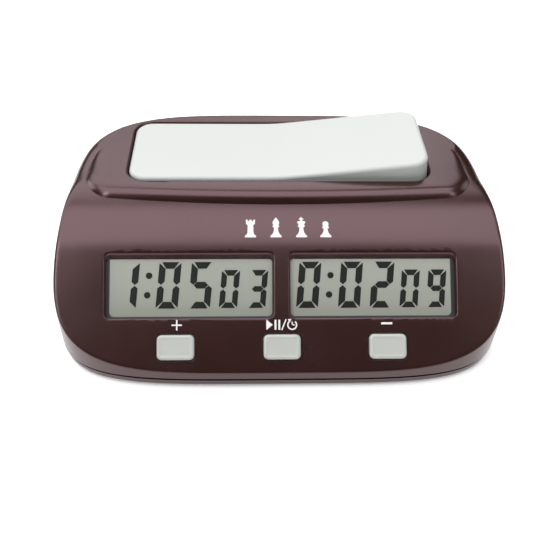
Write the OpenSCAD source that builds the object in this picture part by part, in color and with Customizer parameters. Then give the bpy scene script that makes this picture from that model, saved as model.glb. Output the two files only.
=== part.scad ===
// Digital chess clock: a moulded case in two shells, with a rocker on top that
// both players press, two displays and three keys on the sloping face, and one
// AA cell in a bay underneath. Millimetres, +Z up. The origin is on the table,
// under the middle of the case, and the face looks towards -Y.

/* [Case] */
// Width of the case at its base
body_w = 158; // [152:1:190]
// Depth of the case at its base
body_d = 103; // [101:1:124]
// How far in front of the back edge the case is widest
back_d = 61; // [57:1:63]
// Squareness of the front corners, 2 is an ellipse
front_square = 4.4; // [3.8:0.1:5.5]
// Squareness of the back corners, 2 is an ellipse
back_square = 3.9; // [3.6:0.1:5]
// Thickness of the moulded walls
wall = 2.2; // [1.8:0.1:2.6]
// How far the walls lean in by deck height
lean = 4.2; // [3:0.1:5]
// Share of that lean that the back wall has
back_lean = 0.45; // [0.3:0.05:1]
// Rounding of the rim round the deck
rim_r = 3; // [2:0.25:4]
// Height of the bottom shell's underside above the table
shell_z = 1.5; // [1.2:0.1:2.5]
// Height of the joint between the two shells
parting_z = 5.3; // [5:0.1:6]

/* [Face] */
// Height of the front edge, where the face starts
crease_z = 9.2; // [8.8:0.1:12]
// Slope of the face
face_angle = 41; // [38:0.5:43]
// Length of the flat part of the face, up the slope
face_flat = 42; // [41:0.5:50]
// Radius of the crown between the face and the deck
crown_r = 40; // [36:1:48]
// Angle that the crown turns through
crown_turn = 24; // [22:1:26]
// Height of the step from the crown up to the deck
lip_h = 3.5; // [2.5:0.25:4.5]
// Width of the step's convex front
lip_d = 7.6; // [5:0.1:8.5]

/* [Displays] */
// Width of one window
window_w = 57.4; // [52:0.2:58]
// Height of a window, up the slope
window_h = 22; // [19:0.5:23]
// Width of the bar between the windows
window_bar = 5.7; // [5:0.1:8]
// Distance of the windows' lower edge from the front edge, up the slope
window_s = 18.9; // [18:0.1:20]
// Corner radius of a window
window_r = 1.7; // [1:0.1:2.5]
// Thickness of a display glass
glass_t = 2.6; // [2:0.1:3]

/* [Keys] */
// Width of a key
key_w = 12.6; // [11:0.1:15]
// Height of a key, up the slope
key_h = 8.4; // [8:0.1:9.5]
// Distance between neighbouring keys
key_pitch = 36; // [32:1:40]
// Distance of the keys' middle from the front edge, up the slope
key_s = 8.8; // [8.4:0.1:9.4]
// How far a key stands out of the face
key_out = 1.8; // [1.2:0.1:2.4]
// Travel of a key
key_travel = 0.5; // [0.3:0.1:0.6]

/* [Rocker] */
// Length of the rocker
rocker_l = 108; // [90:0.4:111]
// Depth of the rocker, front to back
rocker_d = 35.8; // [33:0.2:36.6]
// Angle that the rocker tips through
rocker_tip = 7; // [5:0.5:8]
// Height of the rocker's skirt
rocker_h = 10; // [9:0.5:11]
// Corner radius of the rocker
rocker_r = 6.2; // [3:0.2:7]
// Diameter of the pin that the rocker tips on
pin_d = 3; // [2.5:0.1:3.6]

/* [Battery] */
// Diameter of the cell
cell_d = 14.3; // [13.5:0.1:14.5]
// Length of the cell with its nub
cell_l = 50.3; // [44:0.1:50.5]

/* [Hidden] */

burgundy = [0.36, 0.24, 0.25];
light_grey = [0.87, 0.88, 0.86];
key_grey = [0.74, 0.75, 0.72];
display_grey = [0.63, 0.65, 0.60];
board_green = [0.12, 0.35, 0.2];
dark = [0.13, 0.13, 0.13];
steel = [0.75, 0.75, 0.77];
rubber = [0.16, 0.16, 0.17];

// Clearances: between pieces that lie still, between moving ones, and round a shaft
seat_gap = 0.15;
move_gap = 0.3;
shaft_gap = 0.05;
// What a cut runs past the face it starts from
over = 1;

// Case outline: a superellipse, wider to the back of widest_y than to the front
ring_n = 72;
front_y = -body_d / 2;
widest_y = body_d / 2 - back_d;
front_d = body_d - back_d;

function power(v, e) = sign(v) * pow(abs(v), 2 / e);
function outline_point(t, inset, tilt) =
    let (
        s = sin(t),
        e = s < 0 ? front_square : back_square,
        d = s < 0 ? front_d - tilt : back_d - back_lean * tilt
    )
    [(body_w / 2 - inset - tilt) * power(cos(t), e), widest_y + (d - inset) * power(s, e)];
function outline(inset, tilt) = [for (i = [0 : ring_n - 1]) outline_point(360 * i / ring_n, inset, tilt)];

// Side profile of the face: a flat slope, then the crown, which meets the deck's step at crown_y, goes
// on at the sides until it is level, and rises to the rim at the back
flat_y = front_y + face_flat * cos(face_angle);
flat_z = crease_z + face_flat * sin(face_angle);
crown_end = face_angle - crown_turn;
crown_y = flat_y + crown_r * (sin(face_angle) - sin(crown_end));
crown_z = flat_z + crown_r * (cos(crown_end) - cos(face_angle));
deck_z = crown_z + lip_h;
level_y = flat_y + crown_r * sin(face_angle);
level_z = flat_z + crown_r * (1 - cos(face_angle));
rise_d = 24;
rise_h = deck_z + 0.4 - level_z;
face_profile = concat(
    [[front_y - 20, crease_z - 20 * tan(face_angle)]],
    [for (i = [0 : 10]) let (a = face_angle * (1 - i / 10))
        [flat_y + crown_r * (sin(face_angle) - sin(a)), flat_z + crown_r * (cos(a) - cos(face_angle))]],
    [for (f = [0.25 : 0.25 : 1]) [level_y + rise_d * f, level_z + rise_h * f * f * (3 - 2 * f)]],
    [[body_d, level_z + rise_h], [body_d, -20], [front_y - 20, -20]]
);

// Levels of the lofted shells, each as [height, inset, tilt]
function lean_at(z) = lean * pow(max(0, (z - parting_z) / (deck_z - parting_z)), 3);
wall_levels = [
    for (i = [0 : 5]) let (z = parting_z + (deck_z - rim_r - parting_z) * i / 5) [z, 0, lean_at(z)]
];
rim_levels = [
    for (a = [30 : 30 : 90]) let (z = deck_z - rim_r * (1 - sin(a))) [z, rim_r * (1 - cos(a)), lean_at(z)]
];
outer_levels = concat(wall_levels, rim_levels);
inner_levels = concat(
    [[parting_z - over, wall, 0]],
    [for (l = wall_levels) [l[0], wall, l[2]]],
    [[deck_z - wall, wall + rim_r / 2, lean]]
);
joint_inset = 0.5;
base_inset = 3.2;
base_levels = [
    [shell_z, base_inset, 0], [shell_z + 0.8, 1.6, 0], [shell_z + 2, 0.8, 0], [parting_z, joint_inset, 0]
];
// Tongue of the bottom shell that locates the top one
tongue_h = 1.8;
tongue_t = 1.3;

// Inside of the face, and pieces that hang from it, by depth under its surface
glass_depth = wall + seat_gap;
frame_depth = glass_depth + glass_t;
board_depth = 8.6;
board_t = 1.6;
board_low_s = 5.4;
board_high_s = 51;
window_x = window_bar / 2 + window_w / 2;
window_mid_s = window_s + window_h / 2;
glass_w = window_w + 2.8;
glass_h = window_h + 4;
frame_t = 1.1;
board_w = 2 * (window_x + glass_w / 2 + frame_t + 1);
board_post_x = key_pitch + key_w / 2 + 13;
board_posts = [for (x = [-board_post_x, board_post_x], s = [10.4, board_high_s - 3.4]) [x, s]];
post_r = 2.7;
post_bore_r = 0.95;

// Deck: an island with its own step, open in the middle for the rocker's well
well_gap = 0.9;
shelf = 9.4;
well_w = rocker_l + 2 * well_gap;
well_d = rocker_d + 2 * well_gap;
well_y = crown_y + shelf + well_d / 2;
well_t = 1.8;
well_r = rocker_r + well_gap;
rocker_top = deck_z + 0.5;
pivot_drop = 6;
pivot_z = rocker_top - pivot_drop * cos(rocker_tip / 2);
well_depth = rocker_h + 3;
well_floor = rocker_top - well_depth;
deck_margin = lean + 1.2 * rim_r;
deck_bow = 2.2;
deck_corner = 12;
side_lip_d = 3.2;
deck_corner_y = crown_y + deck_bow + deck_corner;
corner_share = (deck_corner_y - widest_y) / (back_d - deck_margin);
deck_side = (body_w / 2 - deck_margin) * pow(1 - pow(corner_share, back_square), 1 / back_square);
deck_half = deck_side - deck_corner;
bow_r = (pow(deck_half, 2) + pow(deck_bow, 2)) / (2 * deck_bow);

// Foot of the deck's step, each point with its way inward and the step's width there. The front is
// bowed, and the sides and back run just inside the case's outline. Right half first, from the middle
// of the front.
function deck_side_point(t) =
    let (
        p = outline_point(t, deck_margin, 0),
        way = outline_point(t + 2, deck_margin, 0) - outline_point(t - 2, deck_margin, 0),
        f = min(1, (p[1] - deck_corner_y) / 16),
        d = lip_d - (lip_d - side_lip_d) * f * f * (3 - 2 * f)
    )
    [p[0], p[1], -way[1] / norm(way), way[0] / norm(way), d];
side_turns = [for (t = [5 : 5 : 90]) if (outline_point(t, deck_margin, 0)[1] > deck_corner_y + 2) t];
deck_foot = concat(
    [for (i = [0 : 6]) let (x = deck_half * i / 6)
        [x, crown_y + bow_r - sqrt(pow(bow_r, 2) - pow(x, 2)), -x / bow_r, 1, lip_d]],
    [for (a = [-75 : 15 : 0])
        [deck_half + deck_corner * cos(a), deck_corner_y + deck_corner * sin(a), -cos(a), -sin(a), lip_d]],
    [for (t = side_turns) deck_side_point(t)]
);
deck_ring = concat(
    deck_foot,
    [for (i = [len(deck_foot) - 2 : -1 : 1]) let (p = deck_foot[i]) [-p[0], p[1], -p[2], p[3], p[4]]]
);
function deck_at(z, share, inset) = [
    for (p = deck_ring) let (d = inset + p[4] * share) [p[0] + p[2] * d, p[1] + p[3] * d, z]
];

// Rocker switches, under the well's floor, on a board that hangs on posts
arm = 10;
plunger_r = 1.25;
plunger_travel = 2 * arm * sin(rocker_tip / 2);
pad_w = 5;
pad_drop = 2;
tip_gap = 0.15;
function pad_z(side) = pivot_z - pad_drop * cos(rocker_tip / 2) + side * arm * sin(rocker_tip / 2);
flange_t = 1;
flange_r = 2.6;
lever_board_z = well_floor - well_t - 10.4;
lever_board_w = 44;
lever_board_d = 14;
switch_h = 4;
switch_w = 8;
lever_post_x = 17.6;
flange_top_z = well_floor - well_t - seat_gap;

// Battery bay in the bottom shell, and its door
door_t = 1.8;
bay_slack = 0.5;
contact_room = 3.2;
bay_l = cell_l + 2 * contact_room;
bay_w = cell_d + 2 * bay_slack;
bay_t = 1.6;
ledge = 2.2;
bay_y = well_y;
cell_z = shell_z + door_t + bay_slack + cell_d / 2;
bay_top = cell_z + cell_d / 2 + bay_slack;
wire_r = 0.6;
wire_exit_x = bay_l / 2 - 0.7 - wire_r;
door_w = bay_l + 2 * ledge;
door_d = bay_w + 2 * ledge;

// Fasteners, feet and the power switch
case_post_r = 3.3;
post_z = 12;
screw_r = 1.45;
screw_l = 13;
screw_head_r = 2.8;
front_post = [body_w / 2 - wall - 7, front_y + 22];
back_post = [well_w / 2 + well_t + case_post_r + 1.6, widest_y + 43];
case_posts = [for (p = [front_post, back_post], x = [-1, 1]) [x * p[0], p[1]]];
foot_r = 6;
foot_sink = 0.8;
foot_x = body_w / 2 - 21;
foot_front_y = front_y + 15;
foot_back_y = body_d / 2 - 14;
power_x = 46;
power_y = crown_y + 12;
power_throw = 3;
knob_w = 3;
knob_d = 2.6;
slot_clear = 0.4;

// Points of a rectangle with rounded corners, w by d, about the origin
function rounded(w, d, r, k = 6) = [
    for (q = [0 : 3], i = [0 : k])
        let (
            a = 90 * q + 90 * i / k,
            x = (q == 0 || q == 3) ? w / 2 - r : r - w / 2,
            y = q < 2 ? d / 2 - r : r - d / 2
        )
        [x + r * cos(a), y + r * sin(a)]
];

module slab(w, d, t, r) linear_extrude(t) polygon(rounded(w, d, r));

// Turns a side view, drawn as [y, z], into a bar that runs right across the case
module across(w) rotate([90, 0, 90]) translate([0, 0, -w / 2]) linear_extrude(w) children();

// Stands its children on the face: x across, y up the slope, z out of it
module on_face() translate([0, front_y, crease_z]) rotate([face_angle, 0, 0]) children();

// Where a point of the face's frame lies: x across, s up the slope, depth under the face
function face_point(x, s, depth) = [
    x,
    front_y + s * cos(face_angle) + depth * sin(face_angle),
    crease_z + s * sin(face_angle) - depth * cos(face_angle)
];

// A closed solid through rings of points, lowest first
module skin(rings) {
    n = len(rings[0]);
    m = len(rings);
    sides = [
        for (k = [0 : m - 2], i = [0 : n - 1])
            let (a = k * n + i, b = k * n + (i + 1) % n)
            each [[a, a + n, b + n], [a, b + n, b]]
    ];
    caps = [[for (i = [0 : n - 1]) i], [for (i = [n - 1 : -1 : 0]) (m - 1) * n + i]];
    polyhedron([for (r = rings) each r], concat(sides, caps));
}

// A closed solid through the case outline at each [height, inset, tilt]
module loft(levels) skin([for (l = levels) [for (p = outline(l[1], l[2])) [p[0], p[1], l[0]]]]);

// A round wire along a list of points
function unit(v) = v / norm(v);
module wire(points, r, sides = 8) {
    n = len(points);
    rings = [
        for (i = [0 : n - 1])
            let (
                t = unit(points[min(i + 1, n - 1)] - points[max(i - 1, 0)]),
                u = unit(cross(t, abs(t[2]) > 0.9 ? [1, 0, 0] : [0, 0, 1])),
                v = cross(t, u)
            )
            for (k = [0 : sides - 1]) points[i] + r * (cos(360 * k / sides) * u + sin(360 * k / sides) * v)
    ];
    tube = [
        for (i = [0 : n - 2], k = [0 : sides - 1])
            let (a = i * sides + k, b = i * sides + (k + 1) % sides)
            each [[a, a + sides, b + sides], [a, b + sides, b]]
    ];
    ends = [[for (k = [0 : sides - 1]) k], [for (k = [sides - 1 : -1 : 0]) (n - 1) * sides + k]];
    polyhedron(rings, concat(tube, ends));
}

// Points of an upright coil about the origin, from height 0 to h
function coil(r0, r1, h, turns, steps = 14) = [
    for (i = [0 : turns * steps])
        let (f = i / (turns * steps), r = r0 + (r1 - r0) * f)
        [r * cos(360 * turns * f), r * sin(360 * turns * f), h * f]
];

// A slotted pan-head screw that points up, its head's top at the origin's plane
module screw(head_r, head_t, shank_r, length) {
    difference() {
        cylinder(h = head_t, r = head_r, $fn = 40);
        for (a = [0, 90]) rotate(a) translate([-head_r * 0.6, -0.3, -over]) cube([head_r * 1.2, 0.6, over + 0.7]);
    }
    translate([0, 0, head_t]) cylinder(h = length, r = shank_r, $fn = 32);
}

// ---- Case ----

module deck_island() skin(concat(
    [deck_at(crown_z - 12, 0, 0)],
    [for (f = [0, 0.06, 0.14, 0.24, 0.38, 0.6, 1]) deck_at(crown_z + lip_h * (1 - pow(1 - f, 4)), f, 0)]
));

module case_envelope() intersection() {
    loft(outer_levels);
    union() {
        across(2 * body_w) polygon(face_profile);
        deck_island();
    }
}

module case_hollow() intersection() {
    loft(inner_levels);
    union() {
        translate([0, 0, -wall / cos(face_angle)]) across(2 * body_w) polygon(face_profile);
        skin([deck_at(crown_z - 12, 0, wall), deck_at(crown_z, 0, wall), deck_at(deck_z - wall, 1, wall)]);
    }
}

module well_block(w, d, r, bottom) translate([0, well_y, bottom]) slab(w, d, deck_z - bottom, r);

module top_shell() color(burgundy) {
    difference() {
        union() {
            difference() {
                case_envelope();
                case_hollow();
            }
            intersection() {
                case_envelope();
                union() {
                    well_block(well_w + 2 * well_t, well_d + 2 * well_t, well_r + well_t, well_floor - well_t);
                    for (p = case_posts)
                        translate([p[0], p[1], post_z]) cylinder(h = deck_z, r = case_post_r, $fn = 40);
                    for (p = board_posts)
                        on_face() translate([p[0], p[1], -board_depth])
                            cylinder(h = board_depth, r = post_r, $fn = 36);
                }
            }
            for (x = [-lever_post_x, lever_post_x])
                translate([x, well_y, lever_board_z])
                    cylinder(h = well_floor - well_t + over - lever_board_z, r = post_r, $fn = 36);
        }
        well_block(well_w, well_d, well_r, well_floor);
        translate([0, well_y, deck_z - over]) slab(well_w, well_d, 2 * over, well_r);
        for (x = [-window_x, window_x])
            translate([x, front_y + window_mid_s * cos(face_angle), crease_z])
                slab(window_w, window_h * cos(face_angle), deck_z, window_r);
        for (x = [-key_pitch, 0, key_pitch])
            on_face() translate([x, key_s, -wall - 2 * over])
                slab(key_w + 2 * move_gap, key_h + 2 * move_gap, wall + 4 * over, 1.3);
        for (p = case_posts)
            translate([p[0], p[1], post_z - over])
                cylinder(h = screw_l + over, r = screw_r + shaft_gap, $fn = 32);
        for (p = board_posts)
            on_face() translate([p[0], p[1], -board_depth - over])
                cylinder(h = 5.5 + over, r = post_bore_r, $fn = 24);
        for (x = [-lever_post_x, lever_post_x])
            translate([x, well_y, lever_board_z - over]) cylinder(h = 5.5 + over, r = post_bore_r, $fn = 24);
        for (x = [-arm, arm])
            translate([x, well_y, well_floor - well_t - over])
                cylinder(h = well_t + 2 * over, r = plunger_r + 0.08, $fn = 40);
        translate([0, well_y, pivot_z]) rotate([90, 0, 0])
            cylinder(h = well_d + 4 * well_t, r = pin_d / 2 + 0.01, center = true, $fn = 48);
    }
}

module bay_block(slack, top)
    translate([0, bay_y, shell_z]) slab(bay_l + 2 * slack, bay_w + 2 * slack, top - shell_z, 0.6 + slack);

module bottom_shell() color(burgundy) {
    difference() {
        union() {
            difference() {
                union() {
                    loft(base_levels);
                    loft([[parting_z - over, wall + seat_gap, 0], [parting_z + tongue_h, wall + seat_gap, 0]]);
                }
                loft([[shell_z + wall, wall + tongue_t, 0], [parting_z + tongue_h + over, wall + tongue_t, 0]]);
            }
            bay_block(bay_t, bay_top + bay_t);
            translate([0, bay_y, shell_z]) slab(door_w + 5, door_d + 5, wall + 1.4, 3);
            for (p = case_posts) translate([p[0], p[1], shell_z + wall / 2])
                cylinder(h = post_z - shell_z - wall / 2 - seat_gap, r = case_post_r + 0.6, $fn = 40);
            for (x = [-1, 1])
                translate([power_x + x * 6.9 - 0.6, power_y - 4, shell_z + wall / 2]) cube([1.2, 8, 5]);
        }
        bay_block(0, bay_top);
        translate([0, bay_y, shell_z - over])
            slab(door_w + 2 * seat_gap, door_d + 2 * seat_gap, door_t + over, 1.8);
        for (p = case_posts) {
            translate([p[0], p[1], shell_z - over]) cylinder(h = 5 + over, r = screw_head_r + 0.4, $fn = 40);
            translate([p[0], p[1], shell_z]) cylinder(h = post_z, r = screw_r + 0.25, $fn = 32);
        }
        for (x = [-foot_x, foot_x], y = [foot_front_y, foot_back_y])
            translate([x, y, shell_z - over]) cylinder(h = foot_sink + over, r = foot_r + seat_gap, $fn = 48);
        translate([power_x, power_y, shell_z - over]) slab(14, 8, over + 0.9, 1.5);
        translate([power_x, power_y, shell_z - over])
            slab(knob_w + power_throw + 2 * slot_clear, knob_d + 2 * slot_clear, wall + 2 * over, 0.5);
        for (x = [-1, 1]) translate([x * wire_exit_x, bay_y, bay_top + bay_t / 2])
            cube([2.2 * wire_r, 5 * wire_r, 2 * bay_t], center = true);
    }
}

module case_screws() color(steel)
    for (p = case_posts)
        translate([p[0], p[1], shell_z + 5 - 1.9]) screw(screw_head_r, 1.9, screw_r, screw_l + 4);

module foot(x, y) color(rubber) translate([x, y, 0]) rotate_extrude($fn = 64) polygon(concat(
    [[0, 0.35], [foot_r - 3, 0.35], [foot_r - 2.4, 0]],
    [for (a = [-90 : 22.5 : 0]) [foot_r - 0.8 + 0.8 * cos(a), 0.8 + 0.8 * sin(a)]],
    [[foot_r, shell_z + foot_sink], [0, shell_z + foot_sink]]
));

// ---- Battery ----

// The door's hooked end is on the left: it turns down about that edge
module battery_door() color(burgundy) translate([0, bay_y, 0]) difference() {
    union() {
        translate([0, 0, shell_z]) slab(door_w, door_d, door_t - seat_gap, 1.7);
        translate([bay_l / 2 - 1.1, 0, shell_z + door_t / 2]) translate([-0.6, -4, 0]) cube([1.2, 8, 3]);
    }
    for (i = [-2 : 2])
        translate([door_w / 2 - 7 + i * 1.8 - 0.35, -5, shell_z - 0.6]) cube([0.7, 10, 1]);
}

module battery_cell() color("goldenrod")
    translate([-cell_l / 2, bay_y, cell_z]) rotate([0, 90, 0]) rotate_extrude($fn = 64) polygon([
        [0, 0.3], [4.5, 0.3], [5, 0], [cell_d / 2 - 0.8, 0], [cell_d / 2, 0.8], [cell_d / 2, cell_l - 2.6],
        [cell_d / 2 - 0.8, cell_l - 1.8], [2.75, cell_l - 1.3], [2.75, cell_l - 0.3], [2.4, cell_l], [0, cell_l]
    ]);

module battery_plus_contact() color(steel) translate([bay_l / 2 - 0.5, bay_y, cell_z]) {
    translate([-0.2, -4.5, -4.5]) cube([0.4, 9, bay_top - cell_z + 4.4]);
    translate([-contact_room + 0.7, 0, 0]) rotate([0, 90, 0]) cylinder(h = contact_room - 0.8, r = 2, $fn = 40);
}

module battery_spring() color(steel) translate([-bay_l / 2 + 0.4, bay_y, cell_z]) {
    translate([-0.2, -4.5, -4.5]) cube([0.4, 9, bay_top - cell_z + 4.4]);
    translate([0.5, 0, 0]) rotate([0, 90, 0]) wire(coil(4.4, 2.4, contact_room - 1.3, 2), 0.3, 6);
}

// From the bay's ends over its roof, then down to the back of the display board
module battery_wires() for (x = [-1, 1]) color(x < 0 ? "black" : "firebrick") wire([
    [x * wire_exit_x, bay_y, bay_top - 0.6], [x * wire_exit_x, bay_y, bay_top + bay_t + 0.6],
    [x * wire_exit_x, bay_y - 3, bay_top + bay_t + 1.8], [x * 25, bay_y - 12, bay_top + bay_t + 1.6],
    [x * 20, bay_y - 22, bay_top + bay_t], [x * 15, bay_y - 32, bay_top - 1.5],
    face_point(x * 12, 24, board_depth + board_t + 5), face_point(x * 12, 24, board_depth + board_t + 0.02)
], wire_r);

// ---- Displays ----

module lcd(side) color(display_grey) on_face() {
    translate([side * window_x, window_mid_s, -frame_depth]) translate([-glass_w / 2, -glass_h / 2, 0])
        cube([glass_w, glass_h, glass_t / 2]);
    translate([side * window_x, window_mid_s + 0.9, -frame_depth + glass_t / 2])
        translate([-glass_w / 2, -glass_h / 2 + 0.9, 0]) cube([glass_w, glass_h - 1.8, glass_t / 2]);
}

module lcd_frame(side) color(dark) on_face() translate([side * window_x, window_mid_s, -board_depth]) {
    h = board_depth - wall - 2 * seat_gap;
    difference() {
        translate([-glass_w / 2 - frame_t, -glass_h / 2 - frame_t, 0])
            cube([glass_w + 2 * frame_t, glass_h + 2 * frame_t, h]);
        translate([-glass_w / 2 - 0.1, -glass_h / 2 - 0.1, board_depth - frame_depth])
            cube([glass_w + 0.2, glass_h + 0.2, h]);
        translate([-glass_w / 2 + 1, -glass_h / 2 + 0.6, -over]) cube([glass_w - 2, 2.8, h]);
        translate([-glass_w / 2 + 1.5, -glass_h / 2 + 5, -over]) cube([glass_w - 3, glass_h - 7, h]);
    }
}

module zebra(side) color("dimgray") on_face()
    translate([side * window_x, window_mid_s - glass_h / 2 + 2, -board_depth])
    translate([-glass_w / 2 + 1.2, -1.1, 0]) cube([glass_w - 2.4, 2.2, board_depth - frame_depth]);

// ---- Display board ----

module main_board() color(board_green) on_face() difference() {
    translate([-board_w / 2, board_low_s, -board_depth - board_t])
        cube([board_w, board_high_s - board_low_s, board_t]);
    for (p = board_posts)
        translate([p[0], p[1], -board_depth - board_t - over])
            cylinder(h = board_t + 2 * over, r = 1.25, $fn = 24);
    translate([-8, board_high_s - 4, -board_depth - board_t - over]) cube([16, 5, board_t + 2 * over]);
}

// Places its children on the back of the display board, z pointing away from it
module on_board_back(x, s) on_face() translate([x, s, -board_depth - board_t]) rotate([180, 0, 0]) children();

module controller_chip() color(dark) on_board_back(-30, 30)
    rotate_extrude($fn = 48) polygon(concat([[0, 0]], [for (a = [0 : 15 : 90]) [8 * cos(a), 1.8 * sin(a)]]));

module crystal() color(steel) on_board_back(-47, 26) translate([0, 0, 1.1]) rotate([90, 0, 0])
    cylinder(h = 6.2, r = 1.05, center = true, $fn = 32);

module board_components() color("tan") {
    for (i = [0 : 4]) on_board_back(-14 + 2.6 * i, 38) translate([-0.65, -1, 0]) cube([1.3, 2, 0.6]);
    for (i = [0 : 3]) on_board_back(26 + 3 * i, 40) translate([-0.65, -1, 0]) cube([1.3, 2, 0.6]);
    on_board_back(42, 34) cylinder(h = 7, r = 2.5, $fn = 36);
    on_board_back(50, 34) cylinder(h = 7, r = 2.5, $fn = 36);
}

module buzzer() color(dark) on_board_back(24, 28) difference() {
    cylinder(h = 6.5, r = 6.5, $fn = 56);
    translate([0, 0, 5]) cylinder(h = 3, r = 1.2, $fn = 32);
}

module board_screws() color(steel)
    for (p = board_posts) on_face() translate([p[0], p[1], -board_depth - board_t - 1.2]) screw(1.9, 1.2, 0.9, 6);

// ---- Keys ----

key_flange_depth = wall + 0.3;
key_post_depth = 4.7;
key_switch_h = 2.6;
key_rim = 1;

// A cap with a bevelled rim and a flat top, a flange that keeps it in, and a post
module key(x) color(key_grey) on_face() translate([x, key_s, 0]) {
    translate([0, 0, -key_flange_depth]) slab(key_w, key_h, key_flange_depth + key_out - key_rim, 1);
    translate([0, 0, key_out - key_rim]) for (i = [0 : 3])
        translate([0, 0, i * key_rim / 4]) slab(key_w - key_rim * i / 2, key_h - key_rim * i / 2, key_rim / 4, 1);
    translate([0, 0, -key_flange_depth - 1]) slab(key_w + 2.4, key_h + 2, 1.05, 1);
    translate([0, 0, -key_post_depth]) cylinder(h = 2, r = 2, $fn = 36);
}

module key_switches() color(dark) for (x = [-key_pitch, 0, key_pitch])
    on_face() translate([x, key_s, -board_depth]) difference() {
        translate([-3, -3, 0]) cube([6, 6, key_switch_h]);
        translate([0, 0, 1.2]) cylinder(h = key_switch_h, r = 1.75 + shaft_gap, $fn = 40);
    }

module key_stem(x) color("ivory") on_face() translate([x, key_s, -board_depth + 1.2 + key_travel + 0.2])
    cylinder(h = board_depth - key_post_depth - 1.2 - key_travel - 0.2, r = 1.75, $fn = 40);

// ---- Rocker ----

// One half of the rocker, from the bend outwards, with its top level
module rocker_half(inset) translate([0, 0, -rocker_h]) intersection() {
    translate([0, 0, -over])
        slab(rocker_l - 2 * inset, rocker_d - 2 * inset, rocker_h + over - inset, max(rocker_r - inset, 0.6));
    translate([-over, -rocker_d, inset > 0 ? -over : 0]) cube([rocker_l / 2 + over, 2 * rocker_d, 2 * rocker_h]);
}

// Both halves about the pivot, each rising by half the tip
module rocker_halves(inset) for (side = [0, 1]) mirror([side, 0, 0])
    translate([0, 0, pivot_drop]) rotate([0, -rocker_tip / 2, 0]) rocker_half(inset);

module at_pivot() translate([0, well_y, pivot_z]) rotate([0, -rocker_tip / 2, 0]) children();

module rocker() color(light_grey) at_pivot() difference() {
    union() {
        difference() {
            rocker_halves(0);
            rocker_halves(1.9);
        }
        rotate([90, 0, 0]) cylinder(h = rocker_d - 2, r = 3.1, center = true, $fn = 48);
        for (x = [-arm, arm]) translate([x - pad_w / 2, -3, -pad_drop]) cube([pad_w, 6, pad_drop + pivot_drop - 1]);
        for (side = [0, 1]) mirror([side, 0, 0]) translate([0, 0, pivot_drop]) rotate([0, -rocker_tip / 2, 0])
            translate([rocker_l / 2 - 11, -rocker_d / 2 + 1, -rocker_h]) cube([1.8, rocker_d - 2, rocker_h - 1]);
    }
    rotate([90, 0, 0]) cylinder(h = rocker_d + 4, r = pin_d / 2 + shaft_gap, center = true, $fn = 48);
}

module rocker_pin() color(steel) translate([0, well_y, pivot_z]) rotate([90, 0, 0])
    cylinder(h = well_d + 2 * well_t + 0.6, r = pin_d / 2, center = true, $fn = 48);

module rocker_bumper(side) color(rubber) translate([side * (rocker_l / 2 - 10.1), well_y, well_floor])
    slab(6, 18, well_depth - rocker_h - 0.25, 1);

// ---- Rocker switches ----

module plunger(side) color("ivory") {
    down = side < 0 ? plunger_travel : 0;
    tip = pad_z(side) - tip_gap;
    flange = flange_top_z - down - flange_t;
    translate([side * arm, well_y, flange]) cylinder(h = flange_t, r = flange_r, $fn = 48);
    translate([side * arm, well_y, flange]) cylinder(h = tip - 0.4 - flange, r = plunger_r, $fn = 40);
    translate([side * arm, well_y, tip - 0.4]) cylinder(h = 0.4, r1 = plunger_r, r2 = plunger_r - 0.4, $fn = 40);
    translate([side * arm, well_y, lever_board_z + 0.6 + plunger_travel - down])
        cylinder(h = flange - lever_board_z - 0.6 - plunger_travel + down, r = 1, $fn = 36);
}

module plunger_spring(side) color(steel) {
    down = side < 0 ? plunger_travel : 0;
    bottom = lever_board_z + switch_h;
    top = flange_top_z - down - flange_t;
    translate([side * arm, well_y, bottom + 0.3]) wire(coil(1.9, 1.9, top - bottom - 0.6, 4), 0.22, 6);
}

module lever_board() color(board_green) difference() {
    translate([-lever_board_w / 2, well_y - lever_board_d / 2, lever_board_z - board_t])
        cube([lever_board_w, lever_board_d, board_t]);
    for (x = [-lever_post_x, lever_post_x]) translate([x, well_y, lever_board_z - board_t - over])
        cylinder(h = board_t + 2 * over, r = 1.25, $fn = 24);
}

module lever_switches() color(dark) for (x = [-arm, arm]) translate([x, well_y, lever_board_z]) difference() {
    translate([-switch_w / 2, -switch_w / 2, 0]) cube([switch_w, switch_w, switch_h]);
    translate([0, 0, 0.4]) cylinder(h = switch_h, r = 1 + shaft_gap, $fn = 40);
}

module lever_board_screws() color(steel)
    for (x = [-lever_post_x, lever_post_x])
        translate([x, well_y, lever_board_z - board_t - 1.2]) screw(1.9, 1.2, 0.9, 6);

// A flat cable from the rocker's board forward to the display board's notch
module lever_ribbon() color("gray") {
    y0 = well_y - lever_board_d / 2;
    y1 = front_y + (board_high_s - 6) * cos(face_angle) + (board_depth + board_t) * sin(face_angle);
    z1 = crease_z + (board_high_s - 6) * sin(face_angle) - (board_depth + board_t) * cos(face_angle);
    z0 = lever_board_z - board_t;
    across(8) polygon([
        [y0 + 3, z0 - 0.5], [y0 + 3, z0], [y0 - 3, z0], [y1 + 2, z1 - 3],
        [y1 + 0.3, z1 - 0.3], [y1 - 0.1, z1 - 0.7], [y1 + 1.6, z1 - 3.4], [y0 - 3.2, z0 - 0.5]
    ]);
}

// ---- Power switch ----

power_body_z = shell_z + wall + seat_gap;
module power_switch() color(steel) translate([power_x, power_y, power_body_z]) difference() {
    translate([-6, -3, 0]) cube([12, 6, 4.6]);
    translate([0, 0, -over]) slab(knob_w + power_throw + 2 * slot_clear, knob_d + 2 * slot_clear, 2.2 + over, 0.5);
}

module power_knob() color(dark) translate([power_x - power_throw / 2, power_y, 1])
    slab(knob_w, knob_d, power_body_z + 1, 0.4);

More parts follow.
